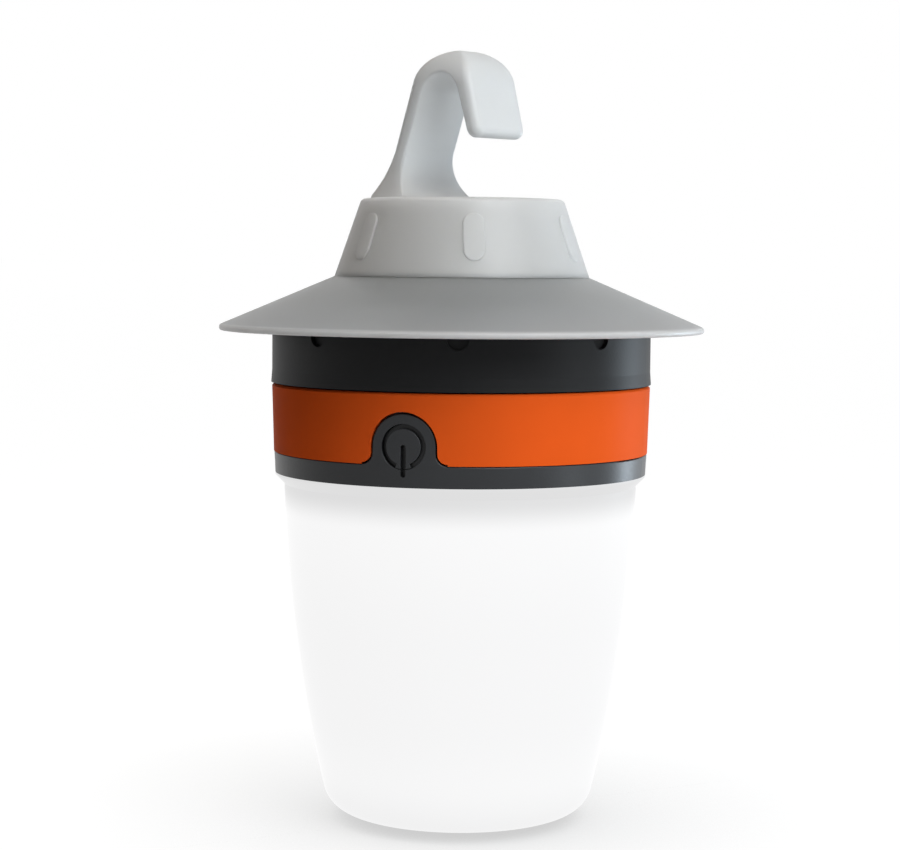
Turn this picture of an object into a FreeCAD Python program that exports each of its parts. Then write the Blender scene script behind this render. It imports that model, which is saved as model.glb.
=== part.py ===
"""Hanging camping lantern: a frosted globe under a battery collar, with a pull-off shade and a pole hook.

Millimetres, +Z up as the lantern hangs, origin on the axis at the foot of the globe.
The power button faces -Y. An azimuth is counted from -Y towards +X.
"""
import FreeCAD
import Part

import math
import os

# Clearances
fit_gap = 0.15            # between pieces that are assembled tight
running_gap = 0.3         # between pieces that move past each other
button_gap = 0.1          # round the power button
pin_gap = 0.05            # round the switch plunger, the screws and the cap's seal
plug_gap = 0.4            # round the cap's plug inside the shade and the crown
shoulder_gap = 0.4        # between the shade's underside and the cap's shoulder
overcut = 1.0             # how far a cutter reaches past a face
root_overlap = 0.5        # how far an added feature sinks into its wall
touch = 0.01              # how close counts as the same place

# Globe
globe_height = 79.3       # foot to the underside of the collar
globe_wall = 2.0
globe_foot_radius = 14.0
globe_foot_rise = 2.2     # how far the bottom climbs from the foot to the corner
globe_low_radius = 29.7
globe_bulge = 1.95        # how far the side swells outside a straight line
globe_neck_inset = 2.1    # how far the neck lies inside the bead
globe_neck_drop = 3.7     # from the collar down to the end of the swelling side
globe_corner_radius = 7.0
globe_flange_edge = 0.5
globe_tongue_depth = 2.7
globe_tongue_wall = 2.2
seal_height = 0.3

# Collar: rubber ring, coloured band and the housing that carries them
collar_radius = 43.0      # at the band's upper edge and the cap's skirt
band_height = 15.3
band_draft = 0.45         # the band's lower edge lies this far inside its upper edge
band_wall = 2.2
band_edge_round = 0.5
ring_height = 4.8
ring_step = 0.1           # the ring's upper edge lies this far inside the band
ring_draft = 0.25         # the ring's lower edge lies this far inside its upper edge
housing_wall = 1.8
deck_thickness = 1.6
web_thickness = 1.8
neck_step = 1.6           # how far the neck lies inside the housing's outer face

# Power button in its arch
button_radius = 4.75
button_travel = 0.5
button_flange_width = 0.45
button_flange_thickness = 0.6
button_stem_radius = 1.8
arch_wall = 2.35          # width of the arch round the button
arch_foot_round = 2.5
arch_edge_round = 0.4
arch_seam = 0.35          # open seam between the arch and the band
symbol_groove_width = 0.9
symbol_groove_depth = 1.1
symbol_open_angle = 44.0
symbol_bar_width = 1.1
symbol_bar_top = 0.4      # above the button's centre
symbol_bar_length = 6.9
symbol_edge_round = 0.15

# Light source under the deck
reflector_gap = 1.5       # between the reflector and the globe's tongue
reflector_rim = 2.0
reflector_thickness = 1.0
reflector_hole_radius = 5.0
spreader_margin = 2.0     # the spreader reaches this far past the light board
spreader_thickness = 1.5
led_board_thickness = 1.3
emitter_size = 5.0
emitter_thickness = 1.0
lens_radius = 2.2

# Electronics on the web
board_thickness = 1.6
board_well_gap = 2.3      # between the driver board and the battery well
switch_axis_height = 2.3  # the plunger's axis above the driver board
switch_width = 6.2
switch_depth = 3.6
plunger_radius = 1.2
plunger_reach = 1.0
inductor_radius = 4.2
inductor_height = 5.0
inductor_azimuth = 90.0
chip_length = 5.0
chip_width = 4.0
chip_height = 1.4
chip_azimuth = 270.0
capacitor_radius = 2.5
capacitor_height = 6.0
capacitor_azimuths = (210.0, 330.0)
lead_radius = 0.45
lead_landing = 3.0        # length of a lead on the contact board
light_lead_azimuths = (112.0, 128.0)
battery_lead_azimuths = (232.0, 248.0)

# Cells, their carrier and its well
cell_radius = 7.1
cell_body_length = 49.0
cell_nub_radius = 2.75
cell_nub_height = 1.5
cell_spacing = 0.4        # between neighbouring cells
cell_azimuths = (0.0, 120.0, 240.0)
carrier_rim = 3.4         # the carrier's plates reach this far past the cells
carrier_bottom_plate = 1.5
carrier_top_plate = 1.3
carrier_rib_width = 5.0
carrier_rib_depth = 5.2
carrier_rib_inset = 0.3
rib_azimuth = 60.0
contact_radius = 4.0
contact_thickness = 0.3
spring_height = 0.6
stud_radius = 1.6
stud_height = 1.1
terminal_ring_radius = 13.0
terminal_ring_width = 2.0
terminal_ring_thickness = 0.4
contact_board_thickness = 0.8
finger_width = 3.0
finger_azimuth = 90.0
well_wall = 1.4
well_flange_thickness = 1.6
well_height = 18.0        # from the deck to the top of the flange

# Screws
screw_shank_radius = 1.1
screw_head_radius = 2.2
screw_head_height = 1.4
screw_length = 8.0
post_radius = 2.6
post_azimuths = (60.0, 180.0, 300.0)
light_screw_margin = 3.0  # from the edge of the light board
light_screw_azimuths = (30.0, 150.0, 270.0)

# Battery cap
cap_wall = 1.8
cap_flare = 0.2           # how far the skirt widens towards its lower edge
cap_flare_height = 2.9
cap_corner = 1.1
cap_corner_height = 1.8
cap_seat_height = 22.4    # from the cap's lower edge to the seat of the shade
cap_seat_width = 2.2
cap_seat_chamfer = 1.0
cap_top_round = 1.5
grip_count = 8
grip_width = 4.8
grip_depth = 1.0
grip_drop = 5.9           # from the skirt's top down to the lowest point of a grip
grip_azimuth = 15.7
bayonet_count = 3
cap_turn = 30.0           # degrees from locked to free
lug_span = 20.0
lug_height = 1.9
rail_clear = 2.0          # degrees between a turned lug and the end of its rail
rail_height = 1.8
stop_span = 3.0
stop_gap = 1.0            # degrees between a locked lug and its stop

# Shade and crown
brim_radius = 55.0
brim_thickness = 1.4
brim_slope = 23.1         # degrees below level
brim_edge_round = 0.6
brim_land = 1.55          # between the cap's seat and the foot of the crown
brim_collar_height = 4.3
brim_collar_wall = 1.3
crown_draft = 19.0        # degrees
crown_wall = 2.0
crown_top_wall = 1.8
crown_edge_round = 1.3
pad_count = 6
pad_width = 4.9
pad_height = 11.0
pad_proud = 0.4
pad_edge_round = 0.3
pad_azimuth = 22.2

# Hook
hook_azimuth = 62.0
hook_width = 16.0
hook_shoulder_round = 7.9 # upper corners of the strip, seen from the front
hook_shoulder_lift = 0.3  # top of those corners above the hook's top
throat_radius = 6.15
throat_height = 22.0      # throat centre above the crown's top
hook_side_thickness = 3.3
hook_top_thickness = 5.15
throat_lean = 18.0        # degrees that the tip's inner face leans outwards
back_lean = 15.0          # degrees that the tip's outer face leans outwards
stem_lean = 20.3          # degrees that both faces of the stem lean outwards
tip_drop = 8.6            # tip's end below the throat's centre
foot_flare_height = 11.2
foot_flare = 3.4
back_flare_height = 12.5
back_flare = 5.8
hook_edge_round = 1.7
throat_edge_round = 0.5
tip_corner_round = 2.0

# Radii of the collar
band_bottom_radius = collar_radius - band_draft
ring_top_radius = band_bottom_radius - ring_step
ring_bottom_radius = ring_top_radius - ring_draft
globe_neck_radius = ring_bottom_radius - globe_neck_inset
sleeve_radius = band_bottom_radius - band_wall
housing_radius = sleeve_radius - fit_gap
housing_inner_radius = housing_radius - housing_wall
neck_radius = housing_radius - neck_step
neck_inner_radius = neck_radius - housing_wall
tongue_outer_radius = housing_inner_radius - fit_gap
tongue_inner_radius = tongue_outer_radius - globe_tongue_wall
deck_radius = tongue_inner_radius - fit_gap
reflector_radius = tongue_inner_radius - reflector_gap
spreader_radius = reflector_radius - reflector_rim
led_board_radius = spreader_radius - spreader_margin
cap_skirt_inner_radius = collar_radius - cap_wall
rail_radius = cap_skirt_inner_radius - running_gap

# Heights of the collar and the light source
collar_bottom = globe_height
globe_neck_height = collar_bottom - globe_neck_drop
band_bottom = collar_bottom + ring_height
band_top = band_bottom + band_height
shoulder_top = band_top
tongue_top = collar_bottom + globe_tongue_depth
web_bottom = tongue_top + seal_height
web_top = web_bottom + web_thickness
deck_bottom = collar_bottom
deck_top = deck_bottom + deck_thickness
board_top = web_top + board_thickness
spreader_bottom = deck_bottom - spreader_thickness
led_board_bottom = spreader_bottom - led_board_thickness
emitter_bottom = led_board_bottom - emitter_thickness
reflector_bottom = led_board_bottom - reflector_thickness
button_height = board_top + switch_axis_height
well_top = deck_top + well_height

# The cap's seal and bayonet, stacked on the housing's shoulder
seal_section = (cap_skirt_inner_radius - neck_radius) / 2 - pin_gap
seal_level = shoulder_top + pin_gap + seal_section
lug_low = seal_level + seal_section + running_gap
rail_bottom = lug_low + lug_height + running_gap
neck_top = rail_bottom + rail_height
rail_span = cap_turn - rail_clear

# Depths of the button and its switch, counted outwards from the axis
button_flange_radius = button_radius + button_flange_width
arch_radius = button_radius + arch_wall
band_front = collar_radius + overcut
flange_front = math.sqrt(sleeve_radius ** 2 - button_flange_radius ** 2) - button_gap
flange_back = flange_front - button_flange_thickness
pocket_floor = flange_back - button_travel - running_gap
stem_end = pocket_floor - housing_wall - running_gap
board_radius = pocket_floor - housing_wall - 2 * fit_gap
switch_front = stem_end - button_gap - plunger_reach
plunger_back = switch_front - plunger_reach

# Battery stack, from the deck up to the crown
contact_board_top = deck_top + contact_board_thickness
carrier_bottom = contact_board_top + stud_height
cells_bottom = carrier_bottom + carrier_bottom_plate
cell_space = cell_body_length + cell_nub_height + contact_thickness + spring_height
carrier_plate_bottom = cells_bottom + cell_space
carrier_top = carrier_plate_bottom + carrier_top_plate
cap_bottom = band_top + running_gap
cap_inner_top = carrier_top + running_gap
cap_top = cap_inner_top + cap_wall
cap_seat = cap_bottom + cap_seat_height
crown_bottom = cap_seat + brim_land
crown_inner_top = cap_top + running_gap
crown_top = crown_inner_top + crown_top_wall

# Radii round the cells, from the carrier out to the crown
cell_circle_radius = (2 * cell_radius + cell_spacing) / math.sqrt(3)
carrier_radius = cell_circle_radius + cell_radius + carrier_rim
carrier_column_radius = cell_circle_radius - cell_radius - running_gap
well_inner_radius = carrier_radius + running_gap
well_radius = well_inner_radius + well_wall
board_inner_radius = well_radius + board_well_gap
board_middle_radius = (board_inner_radius + board_radius) / 2
lead_circle_radius = (board_inner_radius + led_board_radius) / 2
crown_taper = math.tan(math.radians(crown_draft))
crown_wall_across = crown_wall / math.cos(math.radians(crown_draft))
cap_plug_top_radius = carrier_radius + running_gap + cap_wall
crown_top_inside = cap_plug_top_radius + plug_gap
crown_base_inside = crown_top_inside + (crown_inner_top - crown_bottom) * crown_taper
crown_base_radius = crown_base_inside + crown_wall_across
brim_collar_radius = crown_base_inside - fit_gap
cap_plug_base_radius = brim_collar_radius - brim_collar_wall - plug_gap
cap_seat_radius = cap_plug_base_radius + cap_seat_width
brim_fall = math.tan(math.radians(brim_slope))
brim_wall_down = brim_thickness / math.cos(math.radians(brim_slope))

# Hook over its throat
throat_centre = crown_top + throat_height
hook_top = throat_centre + throat_radius + hook_top_thickness
hook_root = crown_inner_top + root_overlap
hook_back_radius = throat_radius + hook_side_thickness

UP = FreeCAD.Vector(0, 0, 1)
INWARD = FreeCAD.Vector(0, 1, 0)
SIDEWAYS = FreeCAD.Vector(1, 0, 0)
CENTRE = FreeCAD.Vector(0, 0, 0)


def turned(outline):
    """Revolve a closed outline of (radius, height) points; a pair of points is an arc's middle and end."""
    here = FreeCAD.Vector(outline[0][0], 0, outline[0][1])
    edges = []
    for item in outline[1:] + [outline[0]]:
        is_arc = isinstance(item[0], tuple)
        radius, height = item[1] if is_arc else item
        there = FreeCAD.Vector(radius, 0, height)
        if is_arc:
            middle = FreeCAD.Vector(item[0][0], 0, item[0][1])
            edges.append(Part.Arc(here, middle, there).toShape())
        elif here.distanceToPoint(there) > 1e-6:
            edges.append(Part.makeLine(here, there))
        here = there
    face = Part.Face(Part.Wire(edges))
    return face.revolve(CENTRE, UP, 360)


def ring(inner, outer, bottom, height):
    """Plain ring about +Z."""
    body = Part.makeCylinder(outer, height, FreeCAD.Vector(0, 0, bottom))
    if inner > 0:
        body = body.cut(Part.makeCylinder(inner, height, FreeCAD.Vector(0, 0, bottom)))
    return body


def sector(inner, outer, bottom, height, first, last):
    """Part of a ring between two azimuths."""
    base = FreeCAD.Vector(0, 0, bottom)
    body = Part.makeCylinder(outer, height, base, UP, last - first)
    body = body.cut(Part.makeCylinder(inner, height, base))
    body.rotate(CENTRE, UP, first - 90)
    return body


def spun(shape, azimuth):
    """Copy of a shape made at the front, turned to an azimuth."""
    turned_copy = shape.copy()
    turned_copy.rotate(CENTRE, UP, azimuth)
    return turned_copy


def around(shape, count, first):
    """Copies of a shape made at the front, spaced evenly from the first azimuth."""
    return [spun(shape, first + step * 360.0 / count) for step in range(count)]


def fused(shapes):
    """One solid from shapes that meet."""
    return shapes[0].multiFuse(shapes[1:]).removeSplitter()


def front_point(across, depth, height):
    """Point in front of the axis: across to +X, depth outwards to -Y."""
    return FreeCAD.Vector(across, -depth, height)


def front_disc(radius, outer, inner, height):
    """Round bar along Y at the front, from an outer depth in to an inner depth."""
    return Part.makeCylinder(radius, outer - inner, front_point(0, outer, height), INWARD)


def front_slot(width, low, high, outer, inner):
    """Upright bar with round ends at the front, from an outer depth in to an inner depth."""
    half = width / 2
    left_low = front_point(-half, outer, low + half)
    left_high = front_point(-half, outer, high - half)
    right_low = front_point(half, outer, low + half)
    right_high = front_point(half, outer, high - half)
    edges = [
        Part.makeLine(left_low, left_high),
        Part.Arc(left_high, front_point(0, outer, high), right_high).toShape(),
        Part.makeLine(right_high, right_low),
        Part.Arc(right_low, front_point(0, outer, low), left_low).toShape(),
    ]
    return Part.Face(Part.Wire(edges)).extrude(INWARD * (outer - inner))


def globe_side(low_radius, low, high_radius, high):
    """Swelling side of the globe: middle and end of the arc from its lower to its upper point."""
    middle = ((low_radius + high_radius) / 2 + globe_bulge, (low + high) / 2)
    return middle, (high_radius, high)


def make_globe():
    """Frosted globe with a bead under the collar and a tongue that plugs up into the housing."""
    bead_low = collar_bottom - globe_flange_edge
    outer = turned([
        (0, 0),
        (globe_foot_radius, 0),
        (globe_low_radius, globe_foot_rise),
        globe_side(globe_low_radius, globe_foot_rise, globe_neck_radius, globe_neck_height),
        (globe_neck_radius, bead_low - globe_neck_inset),
        (ring_bottom_radius, bead_low),
        (ring_bottom_radius, collar_bottom),
        (tongue_outer_radius, collar_bottom),
        (tongue_outer_radius, tongue_top),
        (0, tongue_top),
    ])
    corner = [edge for edge in outer.Edges if is_circle_at(edge, globe_low_radius, globe_foot_rise)]
    outer = outer.makeFillet(globe_corner_radius, corner)
    inner_low = globe_low_radius - globe_wall
    inner_rise = globe_foot_rise + globe_wall
    inside = turned([
        (0, globe_wall),
        (globe_foot_radius, globe_wall),
        (inner_low, inner_rise),
        globe_side(inner_low, inner_rise, globe_neck_radius - globe_wall, globe_neck_height - globe_wall),
        (tongue_inner_radius, globe_neck_height),
        (tongue_inner_radius, tongue_top),
        (0, tongue_top),
    ])
    corner = [edge for edge in inside.Edges if is_circle_at(edge, inner_low, inner_rise)]
    inside = inside.makeFillet(globe_corner_radius - globe_wall, corner)
    return outer.cut(inside)


def is_circle_at(edge, radius, height):
    """Whether an edge is the circle about the axis with this radius and height."""
    if not isinstance(edge.Curve, Part.Circle):
        return False
    return abs(edge.Curve.Radius - radius) < touch and abs(edge.Curve.Center.z - height) < touch


def make_globe_seal():
    """Flat gasket between the globe's tongue and the housing's web."""
    return ring(tongue_inner_radius, tongue_outer_radius, tongue_top, seal_height)


def arch_outline(grow):
    """Face of the arch round the button, grown by a seam, at the depth of the band's front."""
    half = arch_radius + grow
    foot = arch_foot_round - grow
    level = band_bottom + grow
    depth = band_front
    slant = math.sqrt(0.5)
    corners = {
        "left_out": front_point(-half - foot, depth, level),
        "left_mid": front_point(-half - foot + foot * slant, depth, level + foot * (1 - slant)),
        "left_in": front_point(-half, depth, level + foot),
        "left_spring": front_point(-half, depth, button_height),
        "crown": front_point(0, depth, button_height + half),
        "right_spring": front_point(half, depth, button_height),
        "right_in": front_point(half, depth, level + foot),
        "right_mid": front_point(half + foot - foot * slant, depth, level + foot * (1 - slant)),
        "right_out": front_point(half + foot, depth, level),
        "right_base": front_point(half + foot, depth, collar_bottom),
        "left_base": front_point(-half - foot, depth, collar_bottom),
    }
    edges = [
        Part.Arc(corners["left_out"], corners["left_mid"], corners["left_in"]).toShape(),
        Part.makeLine(corners["left_in"], corners["left_spring"]),
        Part.Arc(corners["left_spring"], corners["crown"], corners["right_spring"]).toShape(),
        Part.makeLine(corners["right_spring"], corners["right_in"]),
        Part.Arc(corners["right_in"], corners["right_mid"], corners["right_out"]).toShape(),
        Part.makeLine(corners["right_out"], corners["right_base"]),
        Part.makeLine(corners["right_base"], corners["left_base"]),
        Part.makeLine(corners["left_base"], corners["left_out"]),
    ]
    return Part.Face(Part.Wire(edges))


def arch_block(grow):
    """The arch's outline carried inwards through the collar's wall."""
    return arch_outline(grow).extrude(INWARD * (band_front - neck_inner_radius))


def make_lower_ring():
    """Rubber ring under the band, with the arch that surrounds the button and part of the symbol."""
    plain = turned([
        (sleeve_radius, collar_bottom),
        (ring_bottom_radius, collar_bottom),
        (ring_top_radius, band_bottom),
        (sleeve_radius, band_bottom),
    ])
    shell = ring(sleeve_radius, ring_top_radius, collar_bottom, band_top - collar_bottom)
    arch = shell.common(arch_block(0))
    upper = arch.cut(ring(0, band_front, collar_bottom, band_bottom - collar_bottom))
    body = fused([plain, upper])
    rim = [edge for edge in body.Edges if is_upper_rim(edge)]
    body = body.makeFillet(arch_edge_round, rim)
    hole = front_disc(button_radius + button_gap, band_front, housing_inner_radius, button_height)
    return rounded_front(body.cut(hole).cut(symbol_bar()))


def is_upper_rim(edge):
    """Whether an edge is on the upper outer rim of the ring or of its arch."""
    points = edge.discretize(5)
    outside = all(abs(math.hypot(p.x, p.y) - ring_top_radius) < touch for p in points)
    upper = all(p.z > band_bottom - touch for p in points)
    raised = max(p.z for p in points) > band_bottom + touch
    behind = any(p.y > 0 for p in points)
    return outside and upper and (raised or behind)


def symbol_bar():
    """Upright groove of the power symbol, cut across the button and the ring."""
    top = button_height + symbol_bar_top
    return front_slot(
        symbol_bar_width,
        top - symbol_bar_length,
        top,
        band_front,
        ring_bottom_radius - symbol_groove_depth,
    )


def make_power_button():
    """Button with the ring groove and half of the bar of the power symbol, a flange and a stem."""
    disc = front_disc(button_radius, band_front, flange_front, button_height)
    disc = disc.common(ring(0, ring_top_radius, collar_bottom, band_top - collar_bottom))
    outer = front_disc(button_radius + overcut, band_front, flange_front, button_height)
    core = front_disc(button_radius - symbol_groove_width, band_front, flange_front, button_height)
    floor = ring(0, ring_top_radius - symbol_groove_depth, collar_bottom, band_top - collar_bottom)
    groove = outer.cut(core).cut(symbol_opening()).cut(floor)
    flange = front_disc(button_flange_radius, flange_front, flange_back, button_height)
    stem = front_disc(button_stem_radius, flange_back, stem_end, button_height)
    face = rounded_front(disc.cut(groove).cut(symbol_bar()))
    return fused([face, flange, stem])


def rounded_front(shape):
    """A piece of the button or the arch with the edges of its front face rounded."""
    edges = [edge for edge in shape.Edges if is_on_front(edge)]
    return shape.makeFillet(symbol_edge_round, edges)


def is_on_front(edge):
    """Whether an edge lies on the collar's outer face, close round the button."""
    points = edge.discretize(5)
    outside = all(math.hypot(p.x, p.y) > ring_bottom_radius - touch for p in points)
    reach = button_radius + arch_wall / 2
    near = all(p.y < 0 and math.hypot(p.x, p.z - button_height) < reach for p in points)
    return outside and near


def symbol_opening():
    """Wedge under the button's centre where the symbol's ring stays open."""
    reach = 3 * button_radius
    spread = reach * math.tan(math.radians(symbol_open_angle / 2))
    depth = band_front
    apex = front_point(0, depth, button_height)
    left = front_point(-spread, depth, button_height - reach)
    right = front_point(spread, depth, button_height - reach)
    face = Part.Face(Part.makePolygon([apex, left, right, apex]))
    return face.extrude(INWARD * (depth - flange_front))


def make_orange_band():
    """Coloured band with the cut-out for the arch."""
    body = turned([
        (sleeve_radius, band_bottom),
        (band_bottom_radius, band_bottom),
        (collar_radius, band_top - band_edge_round),
        (collar_radius - band_edge_round, band_top),
        (sleeve_radius, band_top),
    ])
    return body.cut(arch_block(arch_seam))


def make_housing():
    """Core of the collar: globe groove, deck, web, neck with bayonet rails, posts and button pocket."""
    body = turned([
        (0, deck_bottom),
        (deck_radius, deck_bottom),
        (deck_radius, web_bottom),
        (housing_inner_radius, web_bottom),
        (housing_inner_radius, collar_bottom),
        (housing_radius, collar_bottom),
        (housing_radius, shoulder_top),
        (neck_radius, shoulder_top),
        (neck_radius, neck_top),
        (neck_inner_radius, neck_top),
        (neck_inner_radius, shoulder_top - neck_step),
        (housing_inner_radius, shoulder_top - 2 * neck_step),
        (housing_inner_radius, web_top),
        (deck_radius - housing_wall, web_top),
        (deck_radius - housing_wall, deck_top),
        (0, deck_top),
    ])
    rails = []
    for step in range(bayonet_count):
        first = step * 360.0 / bayonet_count - lug_span / 2
        rails.append(sector(
            neck_radius - root_overlap, rail_radius, rail_bottom, rail_height, first, first + rail_span,
        ))
        rails.append(sector(
            neck_radius - root_overlap, rail_radius, lug_low, neck_top - lug_low,
            first - stop_gap - stop_span, first - stop_gap,
        ))
    posts = []
    for azimuth in post_azimuths:
        foot = front_point(0, board_middle_radius, deck_top)
        post = Part.makeCylinder(post_radius, well_top - well_flange_thickness - deck_top, foot)
        posts.append(spun(post, azimuth))
    boss_front = housing_inner_radius + root_overlap
    boss_back = pocket_floor - housing_wall
    boss = front_disc(button_flange_radius + housing_wall, boss_front, boss_back, button_height)
    boss = boss.common(ring(0, housing_radius, web_top, shoulder_top - 2 * neck_step - web_top))
    body = fused([body] + rails + posts + [boss])
    pocket_radius = button_flange_radius + fit_gap + button_gap
    pocket = front_disc(pocket_radius, housing_radius + overcut, pocket_floor, button_height)
    hole_radius = button_stem_radius + running_gap
    stem_hole = front_disc(hole_radius, housing_radius, boss_back - overcut, button_height)
    body = body.cut(pocket).cut(stem_hole)
    for azimuth in post_azimuths:
        pilot_foot = front_point(0, board_middle_radius, well_top - screw_length)
        pilot = Part.makeCylinder(screw_shank_radius + pin_gap, screw_length, pilot_foot)
        body = body.cut(spun(pilot, azimuth))
    for azimuth in light_lead_azimuths:
        foot = front_point(0, lead_circle_radius, deck_bottom)
        hole = Part.makeCylinder(lead_radius + fit_gap, deck_thickness, foot)
        body = body.cut(spun(hole, azimuth))
    for pilot in light_screw_bores(screw_shank_radius + pin_gap, deck_bottom, deck_top):
        body = body.cut(pilot)
    return body


def light_screw_place(height):
    """Place of a light screw at the front, at a height."""
    return front_point(0, led_board_radius - light_screw_margin, height)


def light_screw_bores(radius, low, high):
    """Upright bores for the three screws that hold the light source under the deck."""
    bore = Part.makeCylinder(radius, high - low, light_screw_place(low))
    return [spun(bore, azimuth) for azimuth in light_screw_azimuths]


def make_heat_spreader():
    """Aluminium disc between the deck and the light board."""
    body = ring(0, spreader_radius, spreader_bottom, spreader_thickness)
    for azimuth in light_lead_azimuths:
        foot = front_point(0, lead_circle_radius, spreader_bottom)
        hole = Part.makeCylinder(lead_radius + fit_gap, spreader_thickness, foot)
        body = body.cut(spun(hole, azimuth))
    for bore in light_screw_bores(screw_shank_radius + fit_gap, spreader_bottom, deck_bottom):
        body = body.cut(bore)
    return body


def make_led_board():
    """Metal-core board that carries the light emitter."""
    body = ring(0, led_board_radius, led_board_bottom, led_board_thickness)
    for bore in light_screw_bores(screw_shank_radius + fit_gap, led_board_bottom, spreader_bottom):
        body = body.cut(bore)
    return body


def make_led_emitter():
    """Square emitter package under the light board."""
    corner = FreeCAD.Vector(-emitter_size / 2, -emitter_size / 2, emitter_bottom)
    return Part.makeBox(emitter_size, emitter_size, emitter_thickness, corner)


def make_led_lens():
    """Clear dome under the emitter."""
    level = emitter_bottom
    ball = Part.makeSphere(lens_radius, FreeCAD.Vector(0, 0, level))
    return ball.common(ring(0, lens_radius + overcut, level - lens_radius - overcut, lens_radius + overcut))


def make_reflector():
    """White dish round the emitter that closes the top of the globe."""
    flat_radius = led_board_radius + reflector_thickness
    inside = spreader_radius + running_gap
    body = turned([
        (reflector_hole_radius, reflector_bottom),
        (flat_radius, reflector_bottom),
        (reflector_radius, deck_bottom - reflector_thickness),
        (reflector_radius, deck_bottom),
        (inside, deck_bottom),
        (inside, spreader_bottom - running_gap),
        (flat_radius, led_board_bottom),
        (reflector_hole_radius, led_board_bottom),
    ])
    for bore in light_screw_bores(screw_shank_radius + fit_gap, reflector_bottom, led_board_bottom):
        body = body.cut(bore)
    return body


def make_light_screws():
    """Three screws up through the reflector and boards into the deck."""
    low = reflector_bottom
    head = Part.makeCylinder(screw_head_radius, screw_head_height, light_screw_place(low - screw_head_height))
    shank = Part.makeCylinder(screw_shank_radius, deck_top - low, light_screw_place(low))
    screw = fused([head, shank])
    return Part.makeCompound([spun(screw, azimuth) for azimuth in light_screw_azimuths])


def make_driver_board():
    """Ring-shaped driver board on the web, round the battery well."""
    body = ring(board_inner_radius, board_radius, web_top, board_thickness)
    for azimuth in post_azimuths:
        foot = front_point(0, board_middle_radius, web_top)
        body = body.cut(spun(Part.makeCylinder(post_radius + fit_gap, board_thickness, foot), azimuth))
    return body


def make_tact_switch():
    """Side-push switch body on the board's front edge, with a bore for its plunger."""
    height = 2 * (button_height - board_top)
    corner = front_point(-switch_width / 2, switch_front, board_top)
    body = Part.makeBox(switch_width, switch_depth, height, corner)
    bore_end = plunger_back - button_travel - running_gap
    bore = front_disc(plunger_radius + pin_gap, switch_front, bore_end, button_height)
    return body.cut(bore)


def make_switch_plunger():
    """Plunger between the button's stem and the switch."""
    return front_disc(plunger_radius, stem_end, plunger_back, button_height)


def make_inductor():
    """Drum inductor on the driver board."""
    foot = front_point(0, board_middle_radius, board_top)
    body = Part.makeCylinder(inductor_radius, inductor_height, foot)
    return spun(body, inductor_azimuth)


def make_driver_chip():
    """Driver chip on the driver board."""
    corner = front_point(-chip_length / 2, board_middle_radius + chip_width / 2, board_top)
    return spun(Part.makeBox(chip_length, chip_width, chip_height, corner), chip_azimuth)


def make_capacitors():
    """Two round capacitors on the driver board."""
    foot = front_point(0, board_middle_radius, board_top)
    body = Part.makeCylinder(capacitor_radius, capacitor_height, foot)
    return Part.makeCompound([spun(body, azimuth) for azimuth in capacitor_azimuths])


def make_contact_board():
    """Small board on the deck under the battery carrier."""
    return ring(0, well_inner_radius - fit_gap, deck_top, contact_board_thickness)


def make_contact_fingers():
    """Two sprung fingers that meet the carrier's outer terminal."""
    height = carrier_bottom - terminal_ring_thickness - contact_board_top
    corner = front_point(-finger_width / 2, terminal_ring_radius, contact_board_top)
    finger = Part.makeBox(finger_width, terminal_ring_width, height, corner)
    return Part.makeCompound(around(finger, 2, finger_azimuth))


def make_leads():
    """Two upright pins to the light board and two bent leads to the contact board."""
    light = []
    for azimuth in light_lead_azimuths:
        foot = front_point(0, lead_circle_radius, spreader_bottom)
        light.append(spun(Part.makeCylinder(lead_radius, web_top - spreader_bottom, foot), azimuth))
    battery = []
    level = contact_board_top + lead_radius
    inner = well_inner_radius - lead_landing
    bend = web_top - level
    for azimuth in battery_lead_azimuths:
        start = front_point(0, inner, level)
        turn = front_point(0, lead_circle_radius - bend, level)
        slack = bend * (1 - math.sqrt(0.5))
        middle = front_point(0, lead_circle_radius - slack, level + slack)
        end = front_point(0, lead_circle_radius, web_top)
        path = Part.Wire([Part.makeLine(start, turn), Part.Arc(turn, middle, end).toShape()])
        section = Part.Wire([Part.makeCircle(lead_radius, start, INWARD)])
        battery.append(spun(path.makePipeShell([section], True, True), azimuth))
    return Part.makeCompound(light), Part.makeCompound(battery)


def make_battery_well():
    """Inner cover: a tube round the battery carrier with a flange screwed to the posts."""
    tube_bottom = deck_top + fit_gap
    body = turned([
        (well_inner_radius, tube_bottom),
        (well_radius, tube_bottom),
        (well_radius, well_top - well_flange_thickness),
        (neck_inner_radius - running_gap, well_top - well_flange_thickness),
        (neck_inner_radius - running_gap, well_top),
        (well_inner_radius, well_top),
    ])
    for azimuth in post_azimuths:
        foot = front_point(0, board_middle_radius, well_top - well_flange_thickness)
        hole = Part.makeCylinder(screw_shank_radius + fit_gap, well_flange_thickness, foot)
        body = body.cut(spun(hole, azimuth))
    notch_height = contact_board_top + 2 * lead_radius + running_gap - tube_bottom
    for azimuth in battery_lead_azimuths:
        width = 2 * lead_radius + 2 * running_gap
        corner = front_point(-width / 2, well_radius + overcut, tube_bottom)
        notch = Part.makeBox(width, well_wall + 2 * overcut, notch_height, corner)
        body = body.cut(spun(notch, azimuth))
    return body


def make_well_screws():
    """Three screws through the well's flange into the posts."""
    head_foot = front_point(0, board_middle_radius, well_top)
    head = Part.makeCylinder(screw_head_radius, screw_head_height, head_foot)
    shank_foot = front_point(0, board_middle_radius, well_top - screw_length)
    shank = Part.makeCylinder(screw_shank_radius, screw_length, shank_foot)
    screw = fused([head, shank])
    return Part.makeCompound([spun(screw, azimuth) for azimuth in post_azimuths])


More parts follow.
